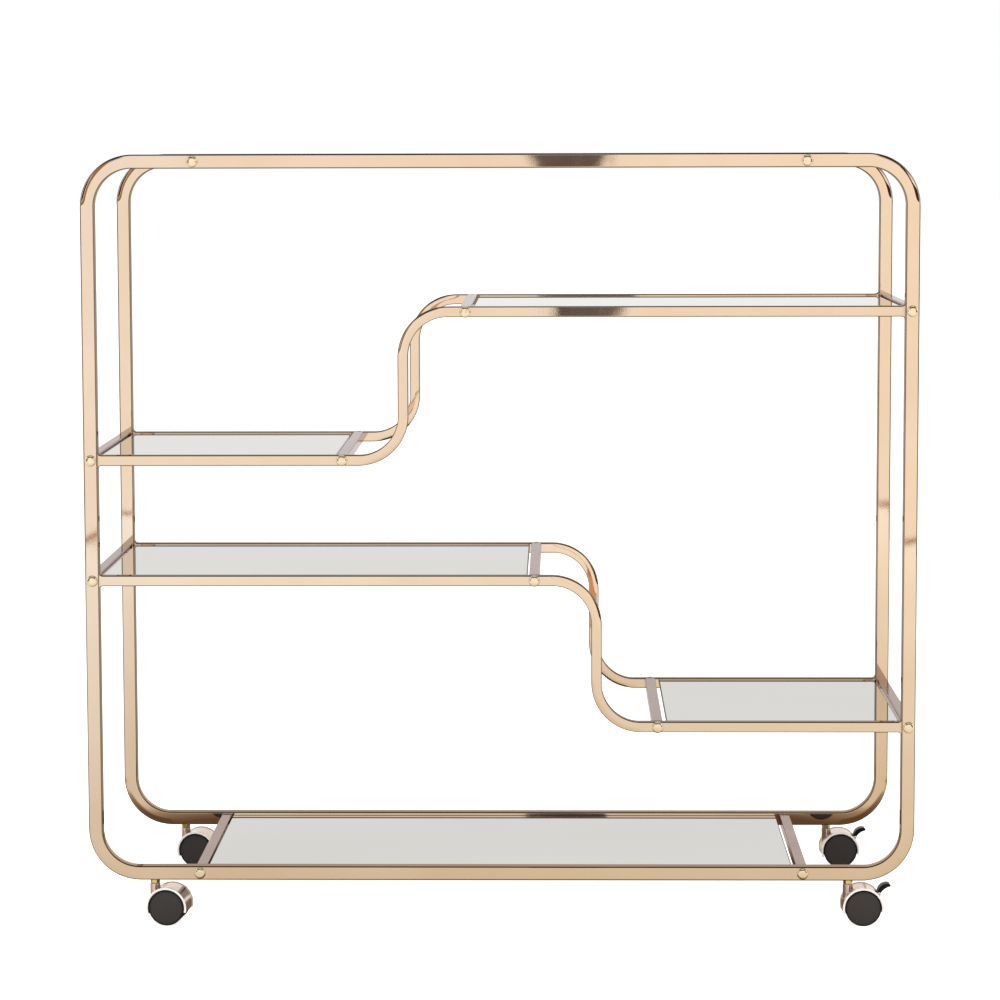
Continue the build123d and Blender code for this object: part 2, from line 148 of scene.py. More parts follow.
def flat_sheet(name, corners, finish):
    """A stage sheet through four corners."""
    sheet_mesh = bpy.data.meshes.new(name)
    sheet_mesh.from_pydata(corners, [], [(0, 1, 2, 3)])
    made = new_piece(name, sheet_mesh, finish)
    return made


floor_finish, tree, shader = material("matt_white_floor")
shader.inputs["Base Color"].default_value = linear("#F7F7F6")
shader.inputs["Roughness"].default_value = 1.0
shader.inputs["Specular IOR Level"].default_value = 0.0
shader.inputs["Emission Color"].default_value = linear("#FFFFFF")
shader.inputs["Emission Strength"].default_value = 0.8
floor_reach = 60.0
floor = flat_sheet("floor", [(-floor_reach, -floor_reach, 0), (floor_reach, -floor_reach, 0),
                             (floor_reach, floor_reach, 0), (-floor_reach, floor_reach, 0)],
                   floor_finish)
floor.visible_glossy = False


# Floor disc. What the polished metal sees of the floor: dark under the cart, tan beside it where
# the cart shades it, white further out, and ending 4.34 m away in the floor sheet's brown edge.
def self_lit(tree, shader, colour):
    """Give a stage sheet a colour that no lamp changes."""
    shader.inputs["Base Color"].default_value = (0, 0, 0, 1)
    shader.inputs["Specular IOR Level"].default_value = 0.0
    tree.links.new(colour, shader.inputs["Emission Color"])
    shader.inputs["Emission Strength"].default_value = 1.0


def reflections_only(sheet):
    """Let a stage sheet show in polished metal and nowhere else."""
    sheet.visible_camera = False
    sheet.visible_diffuse = False
    sheet.visible_transmission = False
    sheet.visible_shadow = False


floor_edge = 4.34
round_segments = 128
shade_reach = 6.0
shade_shape = (0.72, 1.5, 0.0)
gel_reach = 0.9
sheet_finish, tree, shader = material("floor_in_reflections")
where = add(tree, "ShaderNodeTexCoord").outputs["Object"]
stretched = add(tree, "ShaderNodeVectorMath", {0: where, 1: shade_shape}, operation="MULTIPLY")
reach = add(tree, "ShaderNodeVectorMath", {0: stretched.outputs[0]}, operation="LENGTH")
out = add(tree, "ShaderNodeMapRange", {0: reach.outputs["Value"], 1: 0.0, 2: shade_reach})
floor_shade = ramp(tree, out.outputs[0], [
    (0.38 / shade_reach, (0.12, 0.075, 0.045, 1)),
    (0.47 / shade_reach, (0.38, 0.29, 0.21, 1)),
    (0.53 / shade_reach, (0.74, 0.68, 0.58, 1)),
    (2.50 / shade_reach, (0.87, 0.85, 0.81, 1)),
    (5.20 / shade_reach, (1.0, 0.99, 0.97, 1)),
    (1.0, (1.04, 1.04, 1.03, 1)),
])
x_part = add(tree, "ShaderNodeSeparateXYZ", {0: where}).outputs[0]
sideways = add(tree, "ShaderNodeMapRange", {0: x_part, 1: -gel_reach, 2: gel_reach})
gel = ramp(tree, sideways.outputs[0], [
    (0.0, (1.0, 1.05, 1.12, 1)),
    (0.5, (1.0, 0.99, 0.98, 1)),
    (1.0, (1.06, 1.05, 1.03, 1)),
])
seen = add(tree, "ShaderNodeMix", {0: 1.0, 6: floor_shade, 7: gel}, data_type="RGBA",
           blend_type="MULTIPLY")
self_lit(tree, shader, seen.outputs[2])
disc_mesh = bmesh.new()
bmesh.ops.create_circle(disc_mesh, cap_ends=True, segments=round_segments, radius=floor_edge)
made = bpy.data.meshes.new("floor_in_reflections")
disc_mesh.to_mesh(made)
disc_mesh.free()
floor_disc = new_piece("floor_in_reflections", made, sheet_finish)
reflections_only(floor_disc)

# Dark cards. Upright boards, as a studio uses to put a dark line along polished metal: a tall
# narrow one and a low wide one out at each side, and a brown strip inside the left pair. The wide
# ones are cut down so that less of them shows in the mirrors.
card_y = -3.3
card_height = 2.2


def upright_card(name, left, right, high, finish):
    """A board that stands on the floor out to one side, for reflections only."""
    reflections_only(flat_sheet(name, [(left, card_y, 0.0), (right, card_y, 0.0),
                                       (right, card_y, high), (left, card_y, high)], finish))


card_finish, tree, shader = material("black_card")
shader.inputs["Base Color"].default_value = linear("#3A2518")
shader.inputs["Roughness"].default_value = 0.9
shader.inputs["Specular IOR Level"].default_value = 0.0
upright_card("left_card", -3.6, -2.4, card_height, card_finish)
upright_card("left_low_card", -4.6, -3.6, 1.24, card_finish)
upright_card("right_card", 1.65, 2.1, card_height, card_finish)
upright_card("right_low_card", 2.1, 4.6, 1.5, card_finish)

brown_finish, tree, shader = material("brown_card")
where = add(tree, "ShaderNodeTexCoord").outputs["Object"]
board = add(tree, "ShaderNodeTexNoise", {"Vector": where, "Scale": 1000 / 150})
brown = ramp(tree, board.outputs[0], [(0.3, (0.34, 0.19, 0.09, 1)), (0.7, (0.42, 0.25, 0.13, 1))])
self_lit(tree, shader, brown)
upright_card("brown_strip", -2.25, -1.45, card_height, brown_finish)

# Floor sheet's edge. A brown ring round the floor disc, which the upright tubes reflect as one
# band at mid height.
edge_width = 0.13
ring_mesh = bmesh.new()
inner = bmesh.ops.create_circle(ring_mesh, segments=round_segments, radius=floor_edge)["verts"]
outer = bmesh.ops.create_circle(ring_mesh, segments=round_segments,
                                radius=floor_edge + edge_width)["verts"]
for i in range(round_segments):
    ring_mesh.faces.new((inner[i - 1], inner[i], outer[i], outer[i - 1]))
made = bpy.data.meshes.new("floor_sheet_edge")
ring_mesh.to_mesh(made)
ring_mesh.free()
floor_ring = new_piece("floor_sheet_edge", made, brown_finish)
reflections_only(floor_ring)

# Camera card. Stands just behind the camera and is reflected in the upper tubes as the dark shape
# of a camera on its stand, narrower at its foot.
camera_card_y = -4.38
card_foot = 0.3
card_top = 1.08
camera_finish, tree, shader = material("camera_in_reflections")
where = add(tree, "ShaderNodeTexCoord").outputs["Object"]
cloth = add(tree, "ShaderNodeTexNoise", {"Vector": where, "Scale": 1000 / 120})
dark = ramp(tree, cloth.outputs[0], [(0.3, (0.12, 0.10, 0.10, 1)), (0.7, (0.16, 0.135, 0.13, 1))])
self_lit(tree, shader, dark)
reflections_only(flat_sheet(
    "camera_card",
    [(0.015, camera_card_y, card_foot), (0.130, camera_card_y, card_foot),
     (0.195, camera_card_y, card_top), (-0.007, camera_card_y, card_top)], camera_finish))

# Lamps. Three square soft boxes, kept out of reflections so that no bright square shows in the
# tubes. Each has its place, what it aims at, its width in metres and its power in watts.
for name, place, aim, size, power in [
    ("ceiling_lamp", (0.0, -0.4, 3.2), (0, 0.2, 0), 3.4, 38),
    ("left_lamp", (-2.8, -2.4, 1.9), (0, 0, 0.4), 1.8, 13),
    ("right_lamp", (2.8, -2.4, 1.9), (0, 0, 0.4), 1.8, 11),
]:
    lamp_data = bpy.data.lights.new(name, "AREA")
    lamp_data.shape = "SQUARE"
    lamp_data.size = size
    lamp_data.energy = power
    lamp = bpy.data.objects.new(name, lamp_data)
    bpy.context.scene.collection.objects.link(lamp)
    lamp.location = place
    lamp.rotation_euler = (Vector(aim) - Vector(place)).to_track_quat("-Z", "Y").to_euler()
    lamp.visible_glossy = False

# Camera. 4.3 m in front of the cart, level with the top bar and a little right of the middle,
# with a long lens, looking slightly down.
camera_data = bpy.data.cameras.new("camera")
camera_data.sensor_width = 36.0
camera_data.lens = 122.33
camera_data.clip_end = 60
camera = bpy.data.objects.new("camera", camera_data)
bpy.context.scene.collection.objects.link(camera)
camera_yaw = math.radians(-1.02)
camera_pitch = math.radians(5.91)
camera_roll = math.radians(-0.14)
camera.location = (0.0729, -4.2715, 0.9465)
looking = Vector((math.sin(camera_yaw) * math.cos(camera_pitch),
                  math.cos(camera_yaw) * math.cos(camera_pitch), -math.sin(camera_pitch)))
camera.rotation_euler = (looking.to_track_quat("-Z", "Y").to_matrix()
                         @ Matrix.Rotation(camera_roll, 3, "Z")).to_euler()
bpy.context.scene.camera = camera

# Side frames. Each is one length of 17 mm square steel tube, bent cold into a closed loop,
# welded, ground, polished and plated a pale rose gold. Cold bending leaves the tube's walls
# slightly dished in each bend, which is what breaks up the reflections there.
tube_finish, tree, shader = material("rose_gold_plated_polished_steel")
where = add(tree, "ShaderNodeTexCoord").outputs["Object"]
cloud = add(tree, "ShaderNodeTexNoise", {"Vector": where, "Scale": 1000 / 111, "Detail": 3.0})
plating = ramp(tree, cloud.outputs[0], [(0.3, linear("#EDD3B6")), (0.7, linear("#F2DBC2"))])
# Painted reflection: rounded edges are painted dark brown, for the dark ceiling they reflect.
painted_edge_mask = add(tree, "ShaderNodeAttribute", attribute_name="painted_dark_edge")
painted_edge_colour = add(tree, "ShaderNodeMix", {0: painted_edge_mask.outputs["Fac"], 6: plating,
                                    7: linear("#2A1A10")}, data_type="RGBA")
tree.links.new(painted_edge_colour.outputs[2], shader.inputs["Base Color"])
shader.inputs["Metallic"].default_value = 1.0
shader.inputs["Specular Tint"].default_value = linear("#A2978F")
haze = add(tree, "ShaderNodeTexNoise", {"Vector": where, "Scale": 1000 / 16.67, "Detail": 4.0})
gloss = add(tree, "ShaderNodeMapRange", {0: haze.outputs[0], 1: 0.3, 2: 0.7, 3: 0.012,
                                         4: 0.035})
tree.links.new(gloss.outputs[0], shader.inputs["Roughness"])
# Long shallow waves about 60 mm apart, left by drawing and hand polishing.
waves = add(tree, "ShaderNodeTexNoise", {"Vector": where, "Scale": 1000 / 60, "Detail": 0.4})
wave_bump = add(tree, "ShaderNodeBump", {"Height": waves.outputs[0], "Strength": 0.055,
                                         "Distance": 0.004})
# Buffing lines are too fine to show, so they are drawn 0.8 mm apart and very faint.
lines = add(tree, "ShaderNodeTexNoise", {"Vector": where, "Scale": 1000 / 0.8, "Detail": 2.0})
line_bump = add(tree, "ShaderNodeBump", {"Height": lines.outputs[0], "Strength": 0.005,
                                         "Distance": 0.0004, "Normal": wave_bump.outputs[0]})
tree.links.new(line_bump.outputs[0], shader.inputs["Normal"])

main_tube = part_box("front_frame")[1].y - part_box("front_frame")[0].y
main_corner = 0.0016
main_dish = 0.0006
bend_radius = 0.054
bend_lead = 0.006
arc_steps = 30
corner_steps = 6
# In a bend the outer wall sinks by the dish, the inner wall swells by a little more, and the
# cheeks lean in by a few times as much. All of it comes and goes over the first and last eighth.
inner_swell = 1.25
cheek_lean = 2.7
cheek_start = 0.1
bend_ease = 0.12


def square_outline(half, corner):
    """A rounded square: across, outward, and 1 on its rounded corners; its flats are divided."""
    outline = []
    flat = half - corner
    along = [-0.97, -0.75, -0.5, -0.25, 0.0, 0.25, 0.5, 0.75, 0.97]
    for quarter in range(4):
        turn = Matrix.Rotation(quarter * math.pi / 2, 2)
        for a in along:
            outline.append((*(turn @ Vector((flat * a, -half))), 0.0))
        for step in range(corner_steps + 1):
            angle = -math.pi / 2 + math.pi / 2 * step / corner_steps
            spot = turn @ Vector((flat + corner * math.cos(angle),
                                  -flat + corner * math.sin(angle)))
            on_round = 0 < step < corner_steps
            edge = math.sin(2 * (angle + math.pi / 2)) ** 0.3 if on_round else 0.0
            outline.append((*spot, edge))
    return outline


def bent_path(corners, closed):
    """Stations along a bent tube: centre, direction, side of the bend, and how far into it."""
    stations = []
    count = len(corners)
    for i in range(count):
        here = Vector(corners[i])
        if not closed and i in (0, count - 1):
            other = Vector(corners[1] if i == 0 else corners[-2])
            heading = (other - here if i == 0 else here - other).normalized()
            stations.append((here, heading, 0, 0.0))
            continue
        before = (here - Vector(corners[i - 1])).normalized()
        after = (Vector(corners[(i + 1) % count]) - here).normalized()
        turn = 1 if before.x * after.y - before.y * after.x > 0 else -1
        start = here - before * bend_radius
        centre = start + Vector((-before.y, before.x)) * turn * bend_radius
        stations.append((start - before * bend_lead, before, turn, 0.0))
        for step in range(arc_steps + 1):
            share = step / arc_steps
            turned = Matrix.Rotation(turn * math.pi / 2 * share, 2)
            stations.append((centre + turned @ (start - centre), turned @ before, turn, share))
        stations.append((here + after * (bend_radius + bend_lead), after, turn, 0.0))
    return stations


def bent_tube(name, corners, closed, size, corner, y, dish, bead_length=0.0, bead_height=0.0,
              bead_spread=0.0):
    """Sweep a rounded square along a bent path in XZ, dishing its walls where it bends."""
    half = size / 2
    outline = square_outline(half, corner)
    stations = bent_path(corners, closed)
    if bead_length > 0:
        bead = [0.0, 0.06, 0.16, 0.3, 0.48, 0.7, 1.0]
        first, last = stations[0], stations[-1]
        head = [(first[0] + first[1] * bead_length * b, first[1], 0, 0.0) for b in bead]
        tail = [(last[0] - last[1] * bead_length * b, last[1], 0, 0.0) for b in reversed(bead)]
        stations = head + stations[1:-1] + tail
        flare = [1 - math.sqrt(1 - (1 - b) ** 2) for b in bead]
        flares = flare + [0.0] * (len(stations) - 2 * len(bead)) + flare[::-1]
    else:
        flares = [0.0] * len(stations)
    mesh = bmesh.new()
    painted_edge_layer = mesh.verts.layers.float.new("painted_dark_edge")
    rings = []
    for (centre, heading, turn, share), flared in zip(stations, flares):
        outward = Vector((heading.y, -heading.x)) * (turn or 1)
        near_end = min(share, 1 - share) / bend_ease
        eased = min(1.0, near_end) ** 0.6 if 0 < share < 1 else 0.0
        lean = eased * (0.5 + 0.5 * abs(heading.y))
        ring = []
        for across, out, edge in outline:
            u, v = out / half, across / half
            wall = dish * eased * (1 - v * v) * (abs(u) ** 3)
            past_start = max(0.0, (u - cheek_start) / (1 - cheek_start))
            slope = dish * cheek_lean * lean * past_start ** 2 * abs(v) ** 3
            new_out = out - wall if u > 0 else out + inner_swell * wall
            new_out += math.copysign(bead_height * flared, u) * min(1.0, abs(u) * 1.15)
            new_across = across - math.copysign(slope, v)
            new_across += math.copysign(bead_spread * flared, v)
            spot = centre + outward * new_out
            vertex = mesh.verts.new((spot.x, y + new_across, spot.y))
            # Painted reflection: up-facing edges are painted darker still.
            upward = max(0.0, outward.y * math.copysign(1.0, u))
            vertex[painted_edge_layer] = edge * (0.72 + 0.28 * upward)
            ring.append(vertex)
        rings.append(ring)
    pairs = list(zip(rings, rings[1:]))
    if closed:
        pairs.append((rings[-1], rings[0]))
    count = len(outline)
    for (a, b), (first, second) in zip(pairs, zip(stations, stations[1:] + stations[:1])):
        flip = (first[2] or 1) != (second[2] or 1)
        for k in range(count):
            m = (k + 1) % count
            if flip:
                mesh.faces.new((a[k], a[m], b[mirrored(m, outline)], b[mirrored(k, outline)]))
            else:
                mesh.faces.new((a[k], a[m], b[m], b[k]))
    if not closed:
        mesh.faces.new(rings[0])
        mesh.faces.new(rings[-1])
    bmesh.ops.recalc_face_normals(mesh, faces=mesh.faces)
    for face in mesh.faces:
        face.smooth = len(face.verts) == 4
    made = bpy.data.meshes.new(name)
    mesh.to_mesh(made)
    mesh.free()
    return made


def mirrored(k, outline):
    """The outline point opposite in the outward direction, where a bend changes side."""
    across, out, _ = outline[k]
    return min(range(len(outline)),
               key=lambda i: abs(outline[i][0] - across) + abs(outline[i][1] + out))


for name in ("front_frame", "rear_frame"):
    low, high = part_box(name)
    inset = main_tube / 2
    loop = [(low.x + inset, low.z + inset), (high.x - inset, low.z + inset),
            (high.x - inset, high.z - inset), (low.x + inset, high.z - inset)]
    mesh = bent_tube(f"{name}_tube", loop, True, main_tube, main_corner, (low.y + high.y) / 2,
                     main_dish)
    piece = new_piece(f"{name}_tube", mesh, tube_finish)
    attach(piece, "frame")
    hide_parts(name)

# Shelf rails. Smaller 13 mm square tube with one S-bend, its ends coped and brazed to the
# frame's uprights: the braze is ground into a small flare at each end and plated over.
rail_tube = 0.013
rail_corner = 0.0013
rail_dish = 0.0005
rail_step = 0.117
braze_length = 0.0045
braze_height = 0.0038
braze_spread = 0.0012
for name, rise in (("upper_rail", 1), ("lower_rail", -1)):
    for side_name in ("front", "rear"):
        low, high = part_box(f"{name}_{side_name}")
        inset = rail_tube / 2 + braze_height
        left_z = low.z + inset if rise > 0 else high.z - inset
        right_z = high.z - inset if rise > 0 else low.z + inset
        step_x = -rail_step * rise
        route = [(low.x, left_z), (step_x, left_z), (step_x, right_z), (high.x, right_z)]
        mesh = bent_tube(f"{name}_{side_name}_tube", route, False, rail_tube, rail_corner,
                         (low.y + high.y) / 2, rail_dish, braze_length, braze_height,
                         braze_spread)
        piece = new_piece(f"{name}_{side_name}_tube", mesh, tube_finish)
        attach(piece, "frame")
        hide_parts(f"{name}_{side_name}")

# CAD pieces that keep their shape. Their meshes are loose triangles, so each gets a modifier
# that joins them, shades round stretches smoothly and keeps the edges crisp.
smoothing = bpy.data.node_groups.new("smooth_rounds", "GeometryNodeTree")
smoothing.interface.new_socket("Geometry", in_out="INPUT", socket_type="NodeSocketGeometry")
smoothing.interface.new_socket("Crease Angle", in_out="INPUT", socket_type="NodeSocketFloat")
smoothing.interface.new_socket("Cheek Axis", in_out="INPUT", socket_type="NodeSocketVector")
smoothing.interface.new_socket("Cheek Finish", in_out="INPUT", socket_type="NodeSocketMaterial")
smoothing.interface.new_socket("Geometry", in_out="OUTPUT", socket_type="NodeSocketGeometry")
given = add(smoothing, "NodeGroupInput")
merge_gap = 0.000004
joined = add(smoothing, "GeometryNodeMergeByDistance", {"Geometry": given.outputs[0],
                                                        "Distance": merge_gap})
round_faces = add(smoothing, "GeometryNodeSetShadeSmooth", {0: joined.outputs[0], 2: True},
                  domain="FACE")
bend = add(smoothing, "GeometryNodeInputMeshEdgeAngle")
creased = add(smoothing, "FunctionNodeCompare", {0: bend.outputs[0], 1: given.outputs[1]},
              data_type="FLOAT", operation="GREATER_THAN")
crisp = add(smoothing, "GeometryNodeSetShadeSmooth",
            {0: round_faces.outputs[0], 1: creased.outputs[0], 2: False}, domain="EDGE")
# A cheek is a flat face square to the cheek axis; 0.995 is the cosine of about 6 degrees.
squareness = 0.995
face_way = add(smoothing, "GeometryNodeInputNormal")
along = add(smoothing, "ShaderNodeVectorMath",
            {0: face_way.outputs[0], 1: given.outputs["Cheek Axis"]}, operation="DOT_PRODUCT")
flatly = add(smoothing, "ShaderNodeMath", {0: along.outputs["Value"]}, operation="ABSOLUTE")
is_cheek = add(smoothing, "FunctionNodeCompare", {0: flatly.outputs[0], 1: squareness},
               data_type="FLOAT", operation="GREATER_THAN")
cheeked = add(smoothing, "GeometryNodeSetMaterial", {0: crisp.outputs[0], 1: is_cheek.outputs[0],
                                                     2: given.outputs["Cheek Finish"]})
add(smoothing, "NodeGroupOutput", {0: cheeked.outputs[0]})
crease_angle = math.radians(32)


def finish_cad(name, finish, cheek_axis=(0, 0, 0), cheek_finish=None):
    """Give a CAD node its finish and its smoothing, and its flat cheeks a finish of their own."""
    piece = nodes[name]
    for place in piece.material_slots:
        place.material = finish
    if not piece.material_slots:
        piece.data.materials.append(finish)
    rounds = piece.modifiers.new("smooth_rounds", "NODES")
    rounds.node_group = smoothing
    choices = {"Crease Angle": crease_angle, "Cheek Axis": cheek_axis,
               "Cheek Finish": cheek_finish}
    for label, value in choices.items():
        rounds[smoothing.interface.items_tree[label].identifier] = value
    flats = piece.modifiers.new("true_flats", "WEIGHTED_NORMAL")
    flats.keep_sharp = True
    flats.weight = 100
    return piece


# Crossbars and tabs. Straight 13 mm square tube of the same stock as the rails, with small tabs
# welded under the shelves. They are buffed less than the bent tubes, so their upper faces read as
# a quieter, browner grey.
bar_finish, tree, shader = material("rose_gold_plated_buffed_steel")
where = add(tree, "ShaderNodeTexCoord").outputs["Object"]
cloud = add(tree, "ShaderNodeTexNoise", {"Vector": where, "Scale": 1000 / 71.4, "Detail": 3.0})
plating = ramp(tree, cloud.outputs[0], [(0.3, linear("#BCA899")), (0.7, linear("#C8B5A7"))])
tree.links.new(plating, shader.inputs["Base Color"])
shader.inputs["Metallic"].default_value = 1.0
shader.inputs["Specular Tint"].default_value = linear("#D2CBCC")
haze = add(tree, "ShaderNodeTexNoise", {"Vector": where, "Scale": 1000 / 14.29, "Detail": 4.0})
gloss = add(tree, "ShaderNodeMapRange", {0: haze.outputs[0], 1: 0.3, 2: 0.7, 3: 0.10, 4: 0.18})
tree.links.new(gloss.outputs[0], shader.inputs["Roughness"])
crossbars = sorted(n for n in nodes if n.startswith("crossbar_") and n != "crossbar_inserts")
for name in crossbars + sorted(n for n in nodes if n.startswith("tabs_")):
    finish_cad(name, bar_finish)

# Hidden hardware. Inserts, sleeves, axles and pins are zinc-plated steel: a cool grey with the
# faint cloudy patches of the passivation bath.
zinc_finish, tree, shader = material("zinc_plated_steel")
where = add(tree, "ShaderNodeTexCoord").outputs["Object"]
patches = add(tree, "ShaderNodeTexNoise", {"Vector": where, "Scale": 1000 / 5, "Detail": 3.0})
zinc = ramp(tree, patches.outputs[0], [(0.35, linear("#B4B8BB")), (0.65, linear("#C8CBCC"))])
tree.links.new(zinc, shader.inputs["Base Color"])
shader.inputs["Metallic"].default_value = 1.0
shader.inputs["Roughness"].default_value = 0.28
hardware = ["crossbar_inserts", "caster_sockets"]
hardware += [n for n in nodes if n.endswith("_axle") or n.startswith("brake_pin")]
for name in hardware:
    finish_cad(name, zinc_finish)

# Bolts. Low domed steel heads 14 mm across, cold-headed, polished and brass-plated, one at each
# end of every crossbar. The head sits tight on the tube; its shank is inside.
crown_power = 1.7
bolt_finish, tree, shader = material("polished_pale_brass_plate")
where = add(tree, "ShaderNodeTexCoord").outputs["Object"]
cloud = add(tree, "ShaderNodeTexNoise", {"Vector": where, "Scale": 1000 / 4, "Detail": 2.0})
brass = ramp(tree, cloud.outputs[0], [(0.3, linear("#FCE4BA")), (0.7, linear("#FFF0D6"))])
tree.links.new(brass, shader.inputs["Base Color"])
shader.inputs["Metallic"].default_value = 1.0
shader.inputs["Roughness"].default_value = 0.16
dents = add(tree, "ShaderNodeBump", {"Height": cloud.outputs[0], "Strength": 0.15,
                                     "Distance": 0.0006})
tree.links.new(dents.outputs[0], shader.inputs["Normal"])

bolting = bpy.data.node_groups.new("domed_bolts", "GeometryNodeTree")
bolting.interface.new_socket("Geometry", in_out="INPUT", socket_type="NodeSocketGeometry")
for label in ("Head Radius", "Head Height", "Land"):
    bolting.interface.new_socket(label, in_out="INPUT", socket_type="NodeSocketFloat")
bolting.interface.new_socket("Finish", in_out="INPUT", socket_type="NodeSocketMaterial")
bolting.interface.new_socket("Geometry", in_out="OUTPUT", socket_type="NodeSocketGeometry")
given = add(bolting, "NodeGroupInput")
ball = add(bolting, "GeometryNodeMeshUVSphere",
           {"Segments": 36, "Rings": 22, "Radius": given.outputs["Head Radius"]})
spot = add(bolting, "GeometryNodeInputPosition")
parts = add(bolting, "ShaderNodeSeparateXYZ", {0: spot.outputs[0]})
dome_height = add(bolting, "ShaderNodeMath",
                  {0: given.outputs["Head Height"], 1: given.outputs["Land"]}, operation="SUBTRACT")
share = add(bolting, "ShaderNodeMath", {0: parts.outputs[2], 1: given.outputs["Head Radius"]},
            operation="DIVIDE")
short = add(bolting, "ShaderNodeMath", {0: 1.0, 1: share.outputs[0]}, operation="SUBTRACT")
crown = add(bolting, "ShaderNodeMath", {0: short.outputs[0], 1: crown_power}, operation="POWER")
flatter = add(bolting, "ShaderNodeMath", {0: 1.0, 1: crown.outputs[0]}, operation="SUBTRACT")
raised = add(bolting, "ShaderNodeMath",
             {0: flatter.outputs[0], 1: dome_height.outputs[0], 2: given.outputs["Land"]},
             operation="MULTIPLY_ADD")
# The ball's upper half becomes the dome and its lower half is pressed flat.
above = add(bolting, "FunctionNodeCompare", {0: parts.outputs[2], 1: -0.00001}, data_type="FLOAT",
            operation="GREATER_THAN")
level = add(bolting, "GeometryNodeSwitch", {0: above.outputs[0], 1: 0.0, 2: raised.outputs[0]},
            input_type="FLOAT")
placed = add(bolting, "ShaderNodeCombineXYZ",
             {0: parts.outputs[0], 1: parts.outputs[1], 2: level.outputs[0]})
head = add(bolting, "GeometryNodeSetPosition", {0: ball.outputs[0], 2: placed.outputs[0]})
outward = add(bolting, "GeometryNodeInputNamedAttribute", {0: "outward"}, data_type="FLOAT_VECTOR")
aimed = add(bolting, "FunctionNodeAlignRotationToVector", {2: outward.outputs[0]}, axis="Z")
stood = add(bolting, "GeometryNodeInstanceOnPoints",
            {0: given.outputs[0], 2: head.outputs[0], 5: aimed.outputs[0]})
real = add(bolting, "GeometryNodeRealizeInstances", {0: stood.outputs[0]})
smooth = add(bolting, "GeometryNodeSetShadeSmooth", {0: real.outputs[0], 2: True})
coloured = add(bolting, "GeometryNodeSetMaterial",
               {0: smooth.outputs[0], 2: given.outputs["Finish"]})
add(bolting, "NodeGroupOutput", {0: coloured.outputs[0]})

# A crossbar that ends at a frame's inner face is bolted through the frame's tube, and one that
# reaches 2 mm further is bolted through a rail's.
frame_face = -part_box("front_frame")[1].y
seats = []
for name in crossbars:
    low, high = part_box(name)
    bolted_tube = main_tube if high.y < frame_face + 0.001 else rail_tube
    for side in (-1, 1):
        seats.append(((low.x + high.x) / 2, side * (high.y + bolted_tube), (low.z + high.z) / 2,
                      side))
seat_mesh = bpy.data.meshes.new("bolt_seats")
seat_mesh.from_pydata([seat[:3] for seat in seats], [], [])
facing_out = seat_mesh.attributes.new("outward", "FLOAT_VECTOR", "POINT")
for entry, seat in zip(facing_out.data, seats):
    entry.vector = (0, seat[3], 0)
seat_object = new_piece("bolt_seats", seat_mesh)
maker = seat_object.modifiers.new("domed_bolts", "NODES")
maker.node_group = bolting
sizes = {"Head Radius": 0.007, "Head Height": 0.0036, "Land": 0.0006, "Finish": bolt_finish}
for label, value in sizes.items():
    maker[bolting.interface.items_tree[label].identifier] = value


def plain_copy(maker_object, name):
    """The result of an object's modifiers as a plain piece; the maker is removed."""
    ready = maker_object.evaluated_get(bpy.context.evaluated_depsgraph_get())
    made = bpy.data.meshes.new_from_object(ready)
    bpy.data.objects.remove(maker_object)
    return new_piece(name, made)


bolts = plain_copy(seat_object, "domed_bolt_heads")
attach(bolts, "frame")
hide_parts("front_bolts", "rear_bolts")

# Mirror shelves. 5 mm float glass, cut, its edges ground and its arrises polished, silvered on
# the back and painted. From above it is a mirror with a slight grey cast and a thin dark edge.
mirror_finish, tree, shader = material("silvered_float_glass")
where = add(tree, "ShaderNodeTexCoord").outputs["Object"]
cast = add(tree, "ShaderNodeTexNoise", {"Vector": where, "Scale": 1000 / 400, "Detail": 1.0})
silver = ramp(tree, cast.outputs[0], [(0.35, linear("#DBDBD7")), (0.65, linear("#DFDFDC"))])
tree.links.new(silver, shader.inputs["Base Color"])
shader.inputs["Metallic"].default_value = 1.0
shader.inputs["Specular Tint"].default_value = linear("#EBEAE8")
shader.inputs["Roughness"].default_value = 0.015
# Float glass is flat to a few hundredths of a millimetre over 300 mm.
float_waves = add(tree, "ShaderNodeTexNoise", {"Vector": where, "Scale": 1000 / 180,
                                               "Detail": 0.0})
sway = add(tree, "ShaderNodeBump", {"Height": float_waves.outputs[0], "Strength": 0.05,
                                    "Distance": 0.0006})
tree.links.new(sway.outputs[0], shader.inputs["Normal"])

edge_finish, tree, shader = material("polished_glass_edge")
where = add(tree, "ShaderNodeTexCoord").outputs["Object"]
bands = add(tree, "ShaderNodeTexNoise", {"Vector": where, "Scale": 1000 / 25, "Detail": 2.0})
dark_edge = ramp(tree, bands.outputs[0], [(0.3, linear("#221D1A")), (0.7, linear("#3A3632"))])
tree.links.new(dark_edge, shader.inputs["Base Color"])
shader.inputs["Roughness"].default_value = 0.08
shader.inputs["IOR"].default_value = 1.52

backing_finish, tree, shader = material("grey_mirror_backing_paint")
where = add(tree, "ShaderNodeTexCoord").outputs["Object"]
orange_peel = add(tree, "ShaderNodeTexNoise", {"Vector": where, "Scale": 1000 / 3, "Detail": 2.0})
paint = ramp(tree, orange_peel.outputs[0], [(0.3, linear("#7B7E80")), (0.7, linear("#86898B"))])
tree.links.new(paint, shader.inputs["Base Color"])
shader.inputs["Roughness"].default_value = 0.55
peel = add(tree, "ShaderNodeBump", {"Height": orange_peel.outputs[0], "Strength": 0.2,
                                    "Distance": 0.0003})
tree.links.new(peel.outputs[0], shader.inputs["Normal"])

